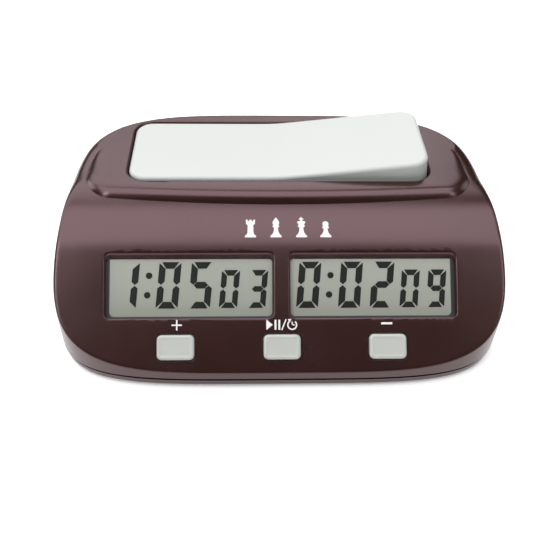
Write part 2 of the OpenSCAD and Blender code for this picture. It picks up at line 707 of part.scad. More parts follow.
top_shell();
bottom_shell();
case_screws();
foot(-foot_x, foot_front_y);  // foot_front_left
foot(foot_x, foot_front_y);  // foot_front_right
foot(-foot_x, foot_back_y);  // foot_back_left
foot(foot_x, foot_back_y);  // foot_back_right
battery_door();
battery_cell();
battery_plus_contact();
battery_spring();
battery_wires();
lcd(-1);  // lcd_left
lcd(1);  // lcd_right
lcd_frame(-1);  // lcd_frame_left
lcd_frame(1);  // lcd_frame_right
zebra(-1);  // zebra_left
zebra(1);  // zebra_right
main_board();
controller_chip();
crystal();
board_components();
buzzer();
board_screws();
key(-key_pitch);  // plus_key
key(0);  // pause_key
key(key_pitch);  // minus_key
key_switches();
key_stem(-key_pitch);  // plus_key_stem
key_stem(0);  // pause_key_stem
key_stem(key_pitch);  // minus_key_stem
rocker();
rocker_pin();
rocker_bumper(-1);  // rocker_bumper_left
rocker_bumper(1);  // rocker_bumper_right
plunger(-1);  // plunger_left
plunger(1);  // plunger_right
plunger_spring(-1);  // plunger_spring_left
plunger_spring(1);  // plunger_spring_right
lever_board();
lever_switches();
lever_board_screws();
lever_ribbon();
power_switch();
power_knob();
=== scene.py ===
import math

import bpy
from mathutils import Matrix, Vector


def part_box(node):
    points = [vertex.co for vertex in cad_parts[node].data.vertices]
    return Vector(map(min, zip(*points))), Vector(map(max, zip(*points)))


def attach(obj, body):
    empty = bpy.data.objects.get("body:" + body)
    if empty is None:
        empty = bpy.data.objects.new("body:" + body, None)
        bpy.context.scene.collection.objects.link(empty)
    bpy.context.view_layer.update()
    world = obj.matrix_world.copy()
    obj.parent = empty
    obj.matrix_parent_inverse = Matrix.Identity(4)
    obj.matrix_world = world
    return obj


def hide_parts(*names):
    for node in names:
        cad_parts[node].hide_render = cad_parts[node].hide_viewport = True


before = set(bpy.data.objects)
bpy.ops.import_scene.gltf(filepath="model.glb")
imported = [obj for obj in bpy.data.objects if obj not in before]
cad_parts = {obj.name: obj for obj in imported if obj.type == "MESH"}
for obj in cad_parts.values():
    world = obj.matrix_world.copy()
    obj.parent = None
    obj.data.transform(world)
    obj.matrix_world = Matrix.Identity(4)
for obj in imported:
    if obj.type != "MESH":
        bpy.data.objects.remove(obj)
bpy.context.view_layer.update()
mm = 0.001

# ---- Top shell ----
# The upper half of the case, injection moulded in burgundy ABS with a fine spark-eroded texture.
# Its side walls follow one squarish outline. A sloping face carries the windows and keys, and a
# raised deck at the back holds the well that the rocker tips in.

shell_low, shell_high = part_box("top_shell")
half_width = shell_high.x
front_y = shell_low.y
back_y = shell_high.y
widest_y = back_y - 61 * mm
parting_z = shell_low.z + 0.3 * mm
deck_z = shell_high.z
front_square = 4.4
back_square = 3.9
wall = 2.2 * mm
lean = 4.2 * mm
back_lean = 0.45
rim_radius = 3 * mm
crease_z = 9.2 * mm
face_angle = math.radians(41)
face_flat = 42 * mm
crown_radius = 40 * mm
crown_turn = math.radians(24)
lip_height = 3.5 * mm
lip_depth = 7.6 * mm
side_lip_depth = 3.2 * mm
ledge_rise = 24 * mm
edge_chamfer = 0.35 * mm
outline_points = 300


def outline_at(turn, inset, tilt=0):
    """A point of the case's outline, drawn in by inset and by how far the walls lean in."""
    side = math.sin(turn)
    squareness = front_square if side < 0 else back_square
    reach = (widest_y - front_y - tilt if side < 0 else back_y - widest_y - back_lean * tilt) - inset
    across = math.copysign(abs(math.cos(turn)) ** (2 / squareness), math.cos(turn))
    along = math.copysign(abs(side) ** (2 / squareness), side)
    return Vector(((half_width - inset - tilt) * across, widest_y + reach * along))


def even_turns(count):
    """Turns that space the outline's points evenly round it."""
    samples = 4000
    turns = [2 * math.pi * i / samples for i in range(samples + 1)]
    points = [outline_at(t, 0) for t in turns]
    lengths = [0.0]
    for a, b in zip(points, points[1:]):
        lengths.append(lengths[-1] + (b - a).length)
    spaced = []
    k = 0
    for i in range(count):
        goal = lengths[-1] * i / count
        while lengths[k + 1] < goal:
            k += 1
        part = (goal - lengths[k]) / (lengths[k + 1] - lengths[k])
        spaced.append(turns[k] + part * (turns[k + 1] - turns[k]))
    return spaced


case_turns = even_turns(outline_points)
flat_end = Vector((front_y + face_flat * math.cos(face_angle), crease_z + face_flat * math.sin(face_angle)))
crown_centre = flat_end + crown_radius * Vector((math.sin(face_angle), -math.cos(face_angle)))
crown_end = face_angle - crown_turn
crown_y = crown_centre.x - crown_radius * math.sin(crown_end)
crown_z = crown_centre.y + crown_radius * math.cos(crown_end)


def eased(share):
    """A share that starts and ends gently, held between 0 and 1."""
    share = min(1, max(0, share))
    return share * share * (3 - 2 * share)


def face_height(y):
    """Height of the sloping face, its crown and the ledge behind it, along a side view."""
    if y < flat_end.x:
        return crease_z + (y - front_y) * math.tan(face_angle)
    if y < crown_centre.x:
        return crown_centre.y + math.sqrt(crown_radius**2 - (crown_centre.x - y) ** 2)
    level = crown_centre.y + crown_radius
    return level + (deck_z + 0.4 * mm - level) * eased((y - crown_centre.x) / ledge_rise)


def lean_at(z):
    return lean * max(0, (z - parting_z) / (deck_z - parting_z)) ** 3


def solid_from_rings(name, rings):
    """A closed solid through rings of points, lowest first, each running the same way."""
    count = len(rings[0])
    faces = [
        (k * count + i, k * count + (i + 1) % count, (k + 1) * count + (i + 1) % count, (k + 1) * count + i)
        for k in range(len(rings) - 1)
        for i in range(count)
    ]
    top = (len(rings) - 1) * count
    faces += [tuple(reversed(range(count))), tuple(range(top, top + count))]
    mesh = bpy.data.meshes.new(name)
    mesh.from_pydata([p for ring in rings for p in ring], [], faces)
    piece = bpy.data.objects.new(name, mesh)
    bpy.context.scene.collection.objects.link(piece)
    only(piece)
    bpy.ops.object.mode_set(mode="EDIT")
    bpy.ops.mesh.select_all(action="SELECT")
    bpy.ops.mesh.normals_make_consistent(inside=False)
    bpy.ops.object.mode_set(mode="OBJECT")
    return piece


def only(piece):
    """Selects one piece and nothing else."""
    bpy.ops.object.select_all(action="DESELECT")
    piece.select_set(True)
    bpy.context.view_layer.objects.active = piece


def combine(piece, tool, operation="DIFFERENCE"):
    """Cuts a piece with a tool, or joins them, and discards the tool."""
    only(piece)
    step = piece.modifiers.new("combine", "BOOLEAN")
    step.operation = operation
    step.solver = "EXACT"
    step.object = tool
    bpy.ops.object.modifier_apply(modifier=step.name)
    bpy.data.objects.remove(tool)
    return piece


def case_rings(levels):
    """Rings of the case's outline at each (height, inset, tilt)."""
    return [[(*outline_at(t, inset, tilt), z) for t in case_turns] for z, inset, tilt in levels]


rim_start = deck_z - rim_radius
outer_levels = [(parting_z, edge_chamfer, 0), (parting_z + edge_chamfer, 0, 0)]
for i in range(1, 19):
    z = parting_z + (rim_start - parting_z) * i / 18
    outer_levels.append((z, 0, lean_at(z)))
for i in range(1, 9):
    a = math.pi / 2 * i / 8
    z = rim_start + rim_radius * math.sin(a)
    outer_levels.append((z, rim_radius * (1 - math.cos(a)), lean_at(z)))


def edge_radius(y):
    """The face's edge is crisp at the front, softens along the sides, and is full at the shoulders."""
    rise = eased((y - front_y - 6 * mm) / (24 * mm))
    shoulder = eased((y - front_y - 42 * mm) / (22 * mm))
    return (0.55 + 0.75 * rise + 3.6 * shoulder) * mm


def rounded_drop(share):
    """How far a rounded edge has dropped, as a share of its radius, at a share of it from the wall."""
    start = 0.03
    if share >= 1:
        return 0
    if share >= start:
        return 1 - math.sqrt(1 - (1 - share) ** 2)
    return 1 - math.sqrt(1 - (1 - start) ** 2) + 4 * (start - share)


def face_cutter(name, drop):
    """All that lies over the face and the ledge, its lower surface rounded down at the edge."""
    ring_count = 60
    top = 70 * mm
    shares = [-2.2, -0.6, 0.03, 0.1, 0.2, 0.35, 0.5, 0.7, 1.0, 1.6]
    steps = ring_count - 1 - len(shares)
    rings = [[] for _ in range(ring_count)]
    centre = Vector((0, widest_y))
    for t in case_turns:
        edge = outline_at(t, 0)
        radius = edge_radius(edge.y)
        tilt = lean_at(face_height(edge.y))
        line = [(outline_at(t, radius * s, tilt), radius * rounded_drop(s)) for s in shares]
        inner = line[-1][0]
        line += [(centre + (inner - centre) * (1 - k / (steps + 0.7)), 0) for k in range(1, steps + 1)]
        for k, (p, fall) in enumerate(line):
            rings[k + 1].append((p.x, p.y, face_height(p.y) - fall - drop))
        rings[0].append((line[0][0].x, line[0][0].y, top))
    return solid_from_rings(name, rings[::-1])


def deck_edge():
    """The deck's foot: a bowed front, round corners, sides and back just inside the case's outline.

    Each entry holds a point, the way inward, and how wide the lip is there."""
    bow = 2.2 * mm
    corner = 12 * mm
    margin = 7.8 * mm
    corner_y = crown_y + bow + corner
    turns = [math.pi / 2 * i / 40 for i in range(41)]
    sides = [p for p in (outline_at(t, margin) for t in turns) if p.y > corner_y + mm]
    half = sides[0].x + 0.1 * mm - corner
    bow_radius = (half**2 + bow**2) / (2 * bow)
    edge = []
    for i in range(31):
        x = half * i / 30
        y = crown_y + bow_radius - math.sqrt(bow_radius**2 - x**2)
        edge.append((x, y, -x / bow_radius, 1, lip_depth))
    for i in range(1, 17):
        a = -math.pi / 2 + math.pi / 2 * i / 16
        across, along = math.cos(a), math.sin(a)
        edge.append((half + corner * across, corner_y + corner * along, -across, -along, lip_depth))
    for k, p in enumerate(sides):
        before = sides[k - 1] if k else Vector((p.x, p.y - mm))
        after = sides[k + 1] if k + 1 < len(sides) else Vector((-before.x, before.y))
        inward = (after - before).normalized()
        depth = lip_depth - (lip_depth - side_lip_depth) * eased((p.y - corner_y) / (16 * mm))
        edge.append((p.x, p.y, -inward.y, inward.x, depth))
    mirrored = [(-x, y, -nx, ny, d) for x, y, nx, ny, d in edge[1:-1]]
    return edge + mirrored[::-1]


def deck_island(name, inset, drop):
    """The deck as a raised island, whose convex lip meets the crown in a crisp line."""
    edge = deck_edge()

    def ring(share, z):
        points = []
        for x, y, nx, ny, depth in edge:
            inward = inset + depth * share
            points.append((x + nx * inward, y + ny * inward, z - drop))
        return points

    rings = [ring(0, crown_z - 14 * mm), ring(0, crown_z - 0.4 * mm)]
    for i in range(17):
        share = (i / 16) ** 1.6
        rings.append(ring(share, crown_z + lip_height * (1 - (1 - share) ** 4)))
    rings.append(ring(1, deck_z + 12 * mm))
    return solid_from_rings(name, rings)


def round_rectangle(width, depth, radius):
    steps = 8
    points = []
    for quarter in range(4):
        cx = (width / 2 - radius) * (1 if quarter in (0, 3) else -1)
        cy = (depth / 2 - radius) * (1 if quarter < 2 else -1)
        for i in range(steps + 1):
            a = math.pi / 2 * (quarter + i / steps)
            points.append((cx + radius * math.cos(a), cy + radius * math.sin(a)))
    return points


def on_face(x, s, out):
    """A point given across the face, up its slope and out of it."""
    return Vector(
        (
            x,
            front_y + s * math.cos(face_angle) - out * math.sin(face_angle),
            crease_z + s * math.sin(face_angle) + out * math.cos(face_angle),
        )
    )


def opening(name, width, depth, corner, flare, bottom, place, slant=0):
    """A cutter for an opening whose mouth is rounded over by flare. Slant leans its walls inside."""
    levels = [(bottom, 0), (-flare, 0)]
    last = math.radians(76)
    for i in range(1, 7):
        a = last * i / 6
        levels.append((-flare + flare * math.sin(a), flare * (1 - math.cos(a))))
    out, wide = levels[-1]
    levels.append((0.4 * mm, wide + (0.4 * mm - out) * math.tan(last)))
    rings = []
    for out, wide in levels:
        mouth = round_rectangle(width + 2 * wide, depth + 2 * wide, corner + wide)
        rings.append([place(x, y + min(0, out) * slant, out) for x, y in mouth])
    return solid_from_rings(name, rings)


window_width, window_height, window_bar, window_low = 57.4 * mm, 22 * mm, 5.7 * mm, 18.9 * mm
window_x = (window_width + window_bar) / 2
window_middle = window_low + window_height / 2
key_width, key_height, key_middle, key_pitch = 12.6 * mm, 8.4 * mm, 8.8 * mm, 36 * mm
key_gap = 0.3 * mm
rocker_low, rocker_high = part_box("rocker")
rocker_length, rocker_depth, rocker_corner = 108 * mm, rocker_high.y - rocker_low.y, 6.2 * mm
well_gap = 0.9 * mm
well_length, well_depth = rocker_length + 2 * well_gap, rocker_depth + 2 * well_gap
well_corner = rocker_corner + well_gap
well_y = (rocker_low.y + rocker_high.y) / 2
well_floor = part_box("rocker_bumper_left")[0].z
well_wall = 1.8 * mm

top_shell = solid_from_rings("top_shell_moulding", case_rings(outer_levels))
above_face = combine(face_cutter("above_face", 0), deck_island("deck_block", 0, 0))
combine(top_shell, above_face)

skin = wall / math.cos(face_angle)
inner_levels = [(parting_z - 2 * mm, wall, 0)]
inner_levels += [(z, wall, tilt) for z, _, tilt in outer_levels[1:20:3]]
inner_levels += [(deck_z - wall, wall + rim_radius / 2, lean)]
hollow = solid_from_rings("hollow", case_rings(inner_levels))
combine(hollow, combine(face_cutter("above_skin", skin), deck_island("deck_core", wall, wall)))


def well_block(name, grow, low, high):
    outline = round_rectangle(well_length + 2 * grow, well_depth + 2 * grow, well_corner + grow)
    return solid_from_rings(name, [[(x, well_y + y, z) for x, y in outline] for z in (low, high)])


combine(hollow, well_block("well_walls", well_wall, well_floor - well_wall, deck_z + 5 * mm))
combine(top_shell, hollow)


def in_well(x, y, out):
    return Vector((x, well_y + y, deck_z + out))


well = opening("well", well_length, well_depth, well_corner, 0.9 * mm, well_floor - deck_z, in_well)
combine(top_shell, well)
for side in (-1, 1):
    combine(
        top_shell,
        opening(
            "window",
            window_width,
            window_height,
            1.7 * mm,
            0.6 * mm,
            -5 * mm,
            lambda x, s, out: on_face(side * window_x + x, window_middle + s, out),
            slant=math.tan(face_angle),
        ),
    )
for side in (-1, 0, 1):
    combine(
        top_shell,
        opening(
            "key_opening",
            key_width + 2 * key_gap,
            key_height + 2 * key_gap,
            1.9 * mm,
            0.35 * mm,
            -5 * mm,
            lambda x, s, out: on_face(side * key_pitch + x, key_middle + s, out),
        ),
    )


def finish_surface(piece, sharp=32):
    """Smooth shading that keeps flat areas flat and real edges crisp."""
    only(piece)
    bpy.ops.object.shade_smooth_by_angle(angle=math.radians(sharp))
    step = piece.modifiers.new("normals", "WEIGHTED_NORMAL")
    step.keep_sharp = True
    step.weight = 80
    bpy.ops.object.modifier_apply(modifier=step.name)


class Value:
    """A shader socket that takes part in arithmetic: each expression adds its Math nodes."""

    def __init__(self, paint, socket):
        self.paint = paint
        self.socket = socket

    def _math(self, operation, a, b):
        return self.paint.node("ShaderNodeMath", {"operation": operation}, {0: a, 1: b})

    def __add__(self, other):
        return self._math("ADD", self, other)

    __radd__ = __add__

    def __sub__(self, other):
        return self._math("SUBTRACT", self, other)

    def __rsub__(self, other):
        return self._math("SUBTRACT", other, self)

    def __mul__(self, other):
        return self._math("MULTIPLY", self, other)

    __rmul__ = __mul__


class Paint:
    """A material with one Principled shader, and a way to add the nodes that feed it."""

    def __init__(self, name, **sockets):
        self.material = bpy.data.materials.new(name)
        self.material.use_nodes = True
        self.tree = self.material.node_tree
        self.shader = self.tree.nodes["Principled BSDF"]
        self.place = self.node("ShaderNodeTexCoord", {}, {}, "Object")
        for socket, value in sockets.items():
            self.shader.inputs[socket.replace("_", " ")].default_value = value

    def node(self, kind, settings, inputs, output=0):
        """Adds a node: its settings first, then the values or links of its sockets."""
        node = self.tree.nodes.new(kind)
        for name, value in settings.items():
            setattr(node, name, value)
        for name, value in inputs.items():
            self.feed(node.inputs[name], value)
        return Value(self, node.outputs[output])

    def feed(self, socket, value):
        if isinstance(value, Value):
            self.tree.links.new(value.socket, socket)
        elif hasattr(value, "__len__") and len(value) == 3 and len(socket.default_value) == 4:
            socket.default_value = (*value, 1)
        else:
            socket.default_value = value

    def noise(self, per_metre, detail=2):
        sockets = {"Vector": self.place, "Scale": per_metre, "Detail": detail}
        return self.node("ShaderNodeTexNoise", {}, sockets)

    def blend(self, factor, a, b):
        return self.node("ShaderNodeMix", {"data_type": "RGBA"}, {0: factor, 6: a, 7: b}, 2)

    def set(self, **sockets):
        for socket, value in sockets.items():
            self.feed(self.shader.inputs[socket.replace("_", " ")], value)

    def bump(self, height, distance, strength):
        sockets = {"Height": height, "Distance": distance, "Strength": strength}
        self.set(Normal=self.node("ShaderNodeBump", {}, sockets))


def moulded_plastic(name, dark, light, roughness, grain, depth, strength, **sockets):
    """Moulded plastic: a colour that drifts a little, and a fine grain from the tool."""
    paint = Paint(name, **sockets)
    drift = paint.noise(22, 3)
    fine = paint.noise(grain, 2)
    coarse = paint.noise(grain / 3.1, 2)
    paint.set(
        Base_Color=paint.blend(drift * 0.6 + fine * 0.4, dark, light),
        Roughness=roughness - 0.04 + 0.08 * paint.noise(60, 2) + 0.05 * (fine - 0.5),
    )
    paint.bump(fine * 0.65 + coarse * 0.35, depth, strength)
    return paint.material


burgundy = moulded_plastic(
    "burgundy_abs", (0.015, 0.005, 0.0032), (0.02, 0.0068, 0.0044), 0.25, 2600, 0.00006, 0.25,
    Specular_IOR_Level=0.68, Specular_Tint=(1.0, 0.69, 0.76, 1),
)


def dress(piece, material, body, slot, *nodes):
    """Gives a finished piece its material and its place in the frame."""
    piece.data.materials.clear()
    piece.data.materials.append(material)
    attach(piece, body)
    if nodes:
        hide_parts(*nodes)


finish_surface(top_shell)
dress(top_shell, burgundy, "case", "case_plastic", "top_shell")

# ---- Bottom shell ----
# The lower half of the case, moulded in the same burgundy ABS: a shallow tray with the battery bay,
# screw tubes and foot recesses. Four screws from below pull it up against the top shell's edge.

base_z = 1.5 * mm
door_low, door_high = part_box("battery_door")
door_width, door_depth = door_high.x - door_low.x, door_high.y - door_low.y
bay_length, bay_depth = door_width - 4.4 * mm, door_depth - 4.4 * mm
bay_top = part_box("battery_cell")[1].z + 0.5 * mm
bay_wall = 1.6 * mm
seat_z = base_z + 0.2 * mm
joint_inset = 0.42 * mm
groove_inset = joint_inset + 0.7 * mm
base_levels = [(base_z, 2.1 * mm, 0)]
for i in range(1, 8):
    a = math.pi / 2 * i / 7
    base_levels.append((base_z + 1.2 * mm * (1 - math.cos(a)), 1.8 * mm - 1.25 * mm * math.sin(a), 0))
base_levels += [
    (parting_z - 1.05 * mm, joint_inset, 0),
    (parting_z - 0.95 * mm, groove_inset, 0),
    (parting_z - 0.05 * mm, groove_inset, 0),
]
bottom_shell = solid_from_rings("bottom_shell_moulding", case_rings(base_levels))
tongue_levels = [(z, wall + 0.15 * mm, 0) for z in (parting_z - 1.5 * mm, parting_z + 1.8 * mm)]
combine(bottom_shell, solid_from_rings("tongue", case_rings(tongue_levels)), "UNION")
tray_levels = [(z, wall + 1.3 * mm, 0) for z in (base_z + wall, parting_z + 3 * mm)]
combine(bottom_shell, solid_from_rings("tray", case_rings(tray_levels)))


def block(name, width, depth, corner, x, y, low, high):
    outline = round_rectangle(width, depth, corner)
    return solid_from_rings(name, [[(x + px, y + py, z) for px, py in outline] for z in (low, high)])


bay = block(
    "bay", bay_length + 2 * bay_wall, bay_depth + 2 * bay_wall, 2 * mm, 0, well_y, seat_z, bay_top + bay_wall
)
combine(bottom_shell, bay, "UNION")
door_seat = block(
    "door_seat", door_width + 5 * mm, door_depth + 5 * mm, 3 * mm, 0, well_y, seat_z, base_z + wall + 1.4 * mm
)
combine(bottom_shell, door_seat, "UNION")
combine(bottom_shell, block("bay_room", bay_length, bay_depth, 0.6 * mm, 0, well_y, base_z - mm, bay_top))
door_gap = 0.3 * mm
door_room = block(
    "door_room", door_width + door_gap, door_depth + door_gap, 1.8 * mm, 0, well_y, base_z - mm, base_z + 1.8 * mm
)
combine(bottom_shell, door_room)


def rod(name, radius, x, y, low, high, sides=48):
    bpy.ops.object.select_all(action="DESELECT")
    bpy.ops.mesh.primitive_cylinder_add(
        vertices=sides, radius=radius, depth=high - low, location=(x, y, (low + high) / 2)
    )
    piece = bpy.context.active_object
    piece.name = name
    bpy.ops.object.transform_apply(location=True, rotation=True, scale=True)
    return piece


front_screw = (half_width - wall - 7 * mm, front_y + 22 * mm)
back_screw = (rocker_length / 2 + 7.6 * mm, widest_y + 43 * mm)
for x, y in [(side * x, y) for x, y in (front_screw, back_screw) for side in (-1, 1)]:
    combine(bottom_shell, rod("tube", 3.9 * mm, x, y, base_z + mm, 11.85 * mm), "UNION")
    combine(bottom_shell, rod("head_room", 3.2 * mm, x, y, base_z - mm, base_z + 5 * mm))
    combine(bottom_shell, rod("shank_room", 1.7 * mm, x, y, base_z, 14 * mm))
feet = ["foot_front_left", "foot_front_right", "foot_back_left", "foot_back_right"]
for foot in feet:
    low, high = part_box(foot)
    middle = (low + high) / 2
    seat_radius = (high.x - low.x) / 2 + 0.15 * mm
    combine(bottom_shell, rod("foot_seat", seat_radius, middle.x, middle.y, base_z - mm, high.z))
knob_low, knob_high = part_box("power_knob")
slot_x = (knob_low.x + knob_high.x) / 2 + 1.5 * mm
slot_y = (knob_low.y + knob_high.y) / 2
knob_dish = block("knob_dish", 14 * mm, 8 * mm, 1.5 * mm, slot_x, slot_y, base_z - mm, base_z + 0.9 * mm)
combine(bottom_shell, knob_dish)
knob_slot = block("knob_slot", 6.8 * mm, 3.4 * mm, 0.5 * mm, slot_x, slot_y, base_z, base_z + 6 * mm)
combine(bottom_shell, knob_slot)
finish_surface(bottom_shell)
dress(bottom_shell, burgundy, "case", "case_plastic", "bottom_shell")

# ---- Rocker ----
# The lever both players press: one light grey ABS moulding, bent in the middle, open underneath, with
# a skirt all round that dips into the well. It tips on a steel pin.

tip = math.radians(7)
pin_low, pin_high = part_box("rocker_pin")
pivot = Vector((0, well_y, (pin_low.z + pin_high.z) / 2))
pivot_drop = 6 * mm
skirt = 10 * mm
bend_width = 3.5 * mm
rocker_wall = 1.9 * mm


def rocker_block(name, inset, low, high, soft):
    """The rocker's body about its pivot, both halves rising evenly from the bend."""
    bpy.ops.object.select_all(action="DESELECT")
    bpy.ops.mesh.primitive_cube_add(size=1, location=(0, 0, (low + high) / 2))
    piece = bpy.context.active_object
    piece.name = name
    piece.scale = (rocker_length - 2 * inset, rocker_depth - 2 * inset, high - low)
    bpy.ops.object.transform_apply(location=True, rotation=True, scale=True)
    bpy.ops.object.mode_set(mode="EDIT")
    bpy.ops.mesh.select_mode(type="EDGE")
    pick_edges(piece, lambda a, b: abs(a.z - b.z) > 0.5 * (high - low))
    bpy.ops.mesh.bevel(offset=rocker_corner - inset, segments=14, affect="EDGES")
    if soft:
        pick_edges(piece, lambda a, b: a.z > high - 0.01 * mm and b.z > high - 0.01 * mm)
        bpy.ops.mesh.bevel(offset=soft, segments=6, affect="EDGES")
    for x in (-16, -9, -6, -4, -2.5, -1.2, 0, 1.2, 2.5, 4, 6, 9, 16):
        bpy.ops.mesh.select_all(action="SELECT")
        bpy.ops.mesh.bisect(plane_co=(x * mm, 0, 0), plane_no=(1, 0, 0))
    bpy.ops.object.mode_set(mode="OBJECT")
    for vertex in piece.data.vertices:
        x, _, z = vertex.co
        reach = math.sqrt(x**2 + bend_width**2)
        turn = tip / 2 * x / reach
        vertex.co.x = x * math.cos(tip / 2) - (z - pivot_drop) * math.sin(turn)
        rise = (reach - bend_width) * math.sin(tip / 2)
        vertex.co.z = pivot_drop + (z - pivot_drop) * math.cos(turn) + rise
    return piece


def pick_edges(piece, wanted):
    """Selects, in edit mode, the edges whose two ends are wanted."""
    bpy.ops.mesh.select_all(action="DESELECT")
    bpy.ops.object.mode_set(mode="OBJECT")
    points = piece.data.vertices
    for edge in piece.data.edges:
        edge.select = wanted(points[edge.vertices[0]].co, points[edge.vertices[1]].co)
    bpy.ops.object.mode_set(mode="EDIT")


def cross_bar(radius, length):
    """A round bar along the pivot, through the rocker from front to back."""
    bpy.ops.object.select_all(action="DESELECT")
    bpy.ops.mesh.primitive_cylinder_add(
        vertices=40, radius=radius, depth=length, location=(0, 0, 0), rotation=(math.pi / 2, 0, 0)
    )
    bpy.ops.object.transform_apply(location=True, rotation=True, scale=True)
    return bpy.context.active_object


skirt_z = pivot_drop - skirt
rocker = rocker_block("rocker_lever", 0, skirt_z, pivot_drop, 1.3 * mm)
combine(rocker, rocker_block("rocker_hollow", rocker_wall, skirt_z - 3 * mm, pivot_drop - rocker_wall, 0))
combine(rocker, cross_bar(3.1 * mm, rocker_depth - 2 * mm), "UNION")
combine(rocker, cross_bar(1.55 * mm, rocker_depth + 4 * mm))
for pad_x in (-10 * mm, 10 * mm):
    pad = block("press_pad", 5 * mm, 6 * mm, 0.4 * mm, pad_x, 0, -2 * mm, pivot_drop - mm)
    combine(rocker, pad, "UNION")
rocker.data.transform(Matrix.Translation(pivot) @ Matrix.Rotation(-tip / 2, 4, "Y"))
finish_surface(rocker, 40)
light_grey = moulded_plastic(
    "light_grey_abs", (0.40, 0.425, 0.405), (0.43, 0.455, 0.435), 0.36, 1900, 0.00004, 0.1
)
dress(rocker, light_grey, "rocker", "rocker_plastic", "rocker")

# ---- Keys ----
# Three soft-edged caps in a darker grey, each dropped into its opening from behind, with a flange
# that keeps it in and a post that presses its switch.

key_grey = moulded_plastic(
    "key_grey_abs", (0.35, 0.365, 0.34), (0.39, 0.405, 0.38), 0.38, 1900, 0.00004, 0.12
)
key_out = 1.8 * mm
key_in = 2.5 * mm
for name, side in (("plus_key", -1), ("pause_key", 0), ("minus_key", 1)):
    bpy.ops.object.select_all(action="DESELECT")
    bpy.ops.mesh.primitive_cube_add(size=1, location=(0, 0, (key_out - key_in) / 2))
    cap = bpy.context.active_object
    cap.name = name + "_cap"
    cap.scale = (key_width, key_height, key_out + key_in)
    bpy.ops.object.transform_apply(location=True, rotation=True, scale=True)
    bpy.ops.object.mode_set(mode="EDIT")
    bpy.ops.mesh.select_mode(type="EDGE")
    pick_edges(cap, lambda a, b: abs(a.z - b.z) > mm)
    bpy.ops.mesh.bevel(offset=1.7 * mm, segments=8, affect="EDGES")
    pick_edges(cap, lambda a, b: a.z > key_out - 0.01 * mm and b.z > key_out - 0.01 * mm)
    bpy.ops.mesh.bevel(offset=0.8 * mm, segments=6, affect="EDGES")
    bpy.ops.mesh.select_mode(type="FACE")
    bpy.ops.mesh.select_all(action="DESELECT")
    bpy.ops.object.mode_set(mode="OBJECT")
    for face in cap.data.polygons:
        face.select = face.normal.z > 0.99 and face.center.z > key_out - 0.01 * mm
    bpy.ops.object.mode_set(mode="EDIT")
    bpy.ops.mesh.inset(thickness=0.25 * mm, depth=0)
    bpy.ops.mesh.inset(thickness=0.35 * mm, depth=-0.09 * mm)
    bpy.ops.mesh.inset(thickness=0.25 * mm, depth=-0.02 * mm)
    bpy.ops.object.mode_set(mode="OBJECT")
    flange = block("flange", key_width + 2.4 * mm, key_height + 2 * mm, mm, 0, 0, -3.5 * mm, -2.48 * mm)
    combine(cap, flange, "UNION")
    combine(cap, rod("post", 2 * mm, 0, 0, -4.7 * mm, -3 * mm, 36), "UNION")
    cap.data.transform(
        Matrix.Translation(on_face(side * key_pitch, key_middle, 0)) @ Matrix.Rotation(face_angle, 4, "X")
    )
    finish_surface(cap, 40)
    dress(cap, key_grey, name, "key_plastic", name)

# ---- Displays ----
# Each display is a sandwich of glass and polarising film over a grey reflector. Its figures are the
# dark segments, with mitred gaps between them, and they lean a little to the right.

shade_masks = []
glass = Paint("display_glass", Specular_IOR_Level=0.5)
height = glass.node("ShaderNodeSeparateXYZ", {}, {0: glass.place}, 2)
# Painted reflection: the glass is coloured lighter towards its top and darker towards its bottom, standing in for
# the light it reflects; the noise adds a random drift of tone.
painted_reflection_up = (height - 0.016) * 45 + 0.12 * glass.noise(9, 2)
glass.set(
    Base_Color=glass.blend(painted_reflection_up, (0.206, 0.220, 0.182), (0.305, 0.319, 0.281)),
    Roughness=0.22 + 0.05 * glass.noise(900, 2),
)
glass.bump(glass.noise(1500, 2), 0.00002, 0.15)
for side in ("left", "right"):
    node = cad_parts["lcd_" + side]
    node.data.materials.clear()
    node.data.materials.append(glass.material)

# A black mask lies on each glass as painted shade, standing in for the shaded inner edge of the window's wall:
# wider beyond the outer end than along the other sides
shade_mask_out = -2.3 * mm
shade_mask_middle = window_middle + 0.1 * mm
sight_shift = 0.5 * mm
sight = round_rectangle(window_width - 1.6 * mm, window_height - 0.5 * mm, 1.6 * mm)
border = round_rectangle(window_width + 2 * mm, window_height + 2 * mm, 1.6 * mm)


def shade_mask_block(name, outline, x, half_thick):
    """An outline about x on the glass, as thick each way from the mask's middle."""
    rings = []
    for out in (-half_thick, half_thick):
        rings.append([on_face(x + px, shade_mask_middle + s, shade_mask_out + out) for px, s in outline])
    return solid_from_rings(name, rings)


for side, name in ((-1, "display_mask_left"), (1, "display_mask_right")):
    shade_mask_plate = shade_mask_block(name, border, side * window_x, 0.04 * mm)
    combine(shade_mask_plate, shade_mask_block("sight", sight, side * (window_x - sight_shift), mm))
    shade_masks.append(shade_mask_plate)

ink = Paint("display_segment", Specular_IOR_Level=0.15)
ink.set(
    Base_Color=ink.blend(ink.noise(300, 2), (0.006, 0.0075, 0.006), (0.01, 0.012, 0.01)),
    Roughness=0.42 + 0.06 * ink.noise(1200, 2),
)
glass_out = -2.35 * mm
segment_out = glass_out + 0.04 * mm
segment_lean = math.tan(math.radians(5))
segment_gap = 0.2 * mm


